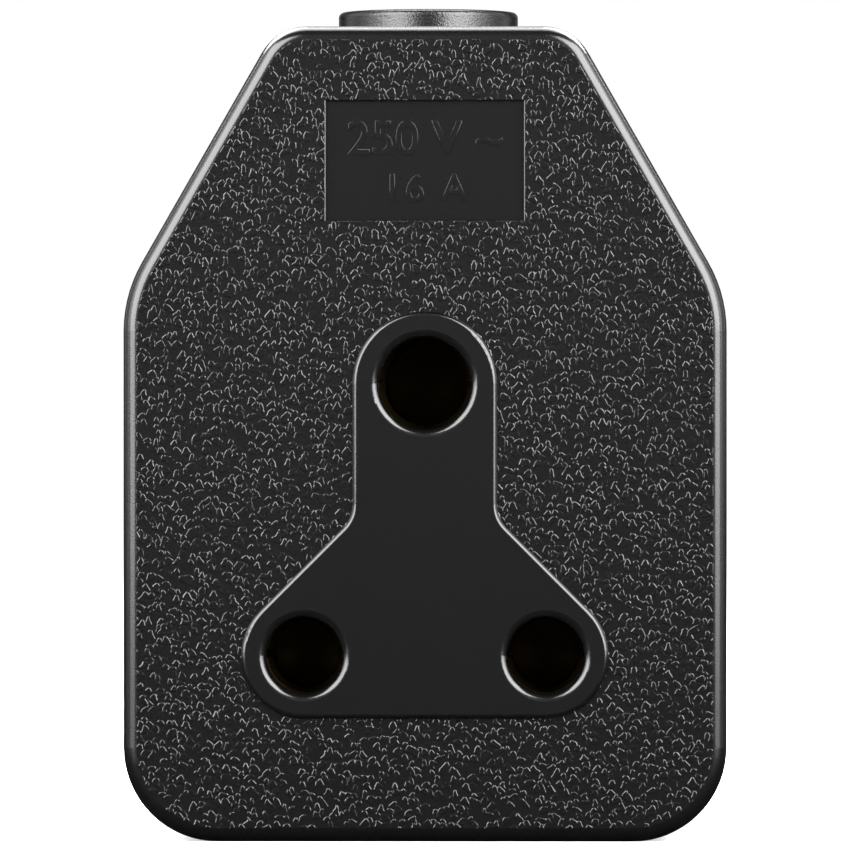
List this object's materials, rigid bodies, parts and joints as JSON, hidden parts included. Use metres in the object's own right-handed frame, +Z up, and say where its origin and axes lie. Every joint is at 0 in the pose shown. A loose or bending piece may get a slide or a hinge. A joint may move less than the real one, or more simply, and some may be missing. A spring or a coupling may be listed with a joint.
{
  "type": "double socket adapter",
  "caption": "Rewirable double-sided trailing socket for round three-pin plugs, with a cord bush on top.",
  "frame": {"origin": "under the middle of the flat bottom end", "axes": "+Z up to the cord bush, -Y out of the front socket face, +X to its right"},
  "size_m": [0.0636, 0.06, 0.0885],
  "materials": {
    "housing_plastic": "moulded leather grain, semi-gloss",
    "bush_plastic": "fine spark-eroded texture",
    "insulator": "plain moulded",
    "contact_brass": "turned and rolled, dull",
    "spring_steel": "rolled, blued",
    "plated_steel": "zinc plated"
  },
  "bodies": {
    "root": {"back_cover": "housing_plastic", "carrier_back": "insulator", "carrier_front": "insulator", "clamp_screws": "plated_steel", "cord_bush": "bush_plastic", "cord_clamp": "insulator", "earth_bar": "contact_brass", "earth_sleeve_back": "contact_brass", "earth_sleeve_front": "contact_brass", "earth_spring_back": "spring_steel", "earth_spring_front": "spring_steel", "earth_terminal": "contact_brass", "earth_terminal_screw": "plated_steel", "front_cover": "housing_plastic", "housing_inserts": "contact_brass", "housing_screws": "plated_steel", "live_bar": "contact_brass", "live_sleeve_back": "contact_brass", "live_sleeve_front": "contact_brass", "live_spring_back": "spring_steel", "live_spring_front": "spring_steel", "live_terminal": "contact_brass", "live_terminal_screw": "plated_steel", "neutral_bar": "contact_brass", "neutral_sleeve_back": "contact_brass", "neutral_sleeve_front": "contact_brass", "neutral_spring_back": "spring_steel", "neutral_spring_front": "spring_steel", "neutral_terminal": "contact_brass", "neutral_terminal_screw": "plated_steel"}
  },
  "joints": []
}
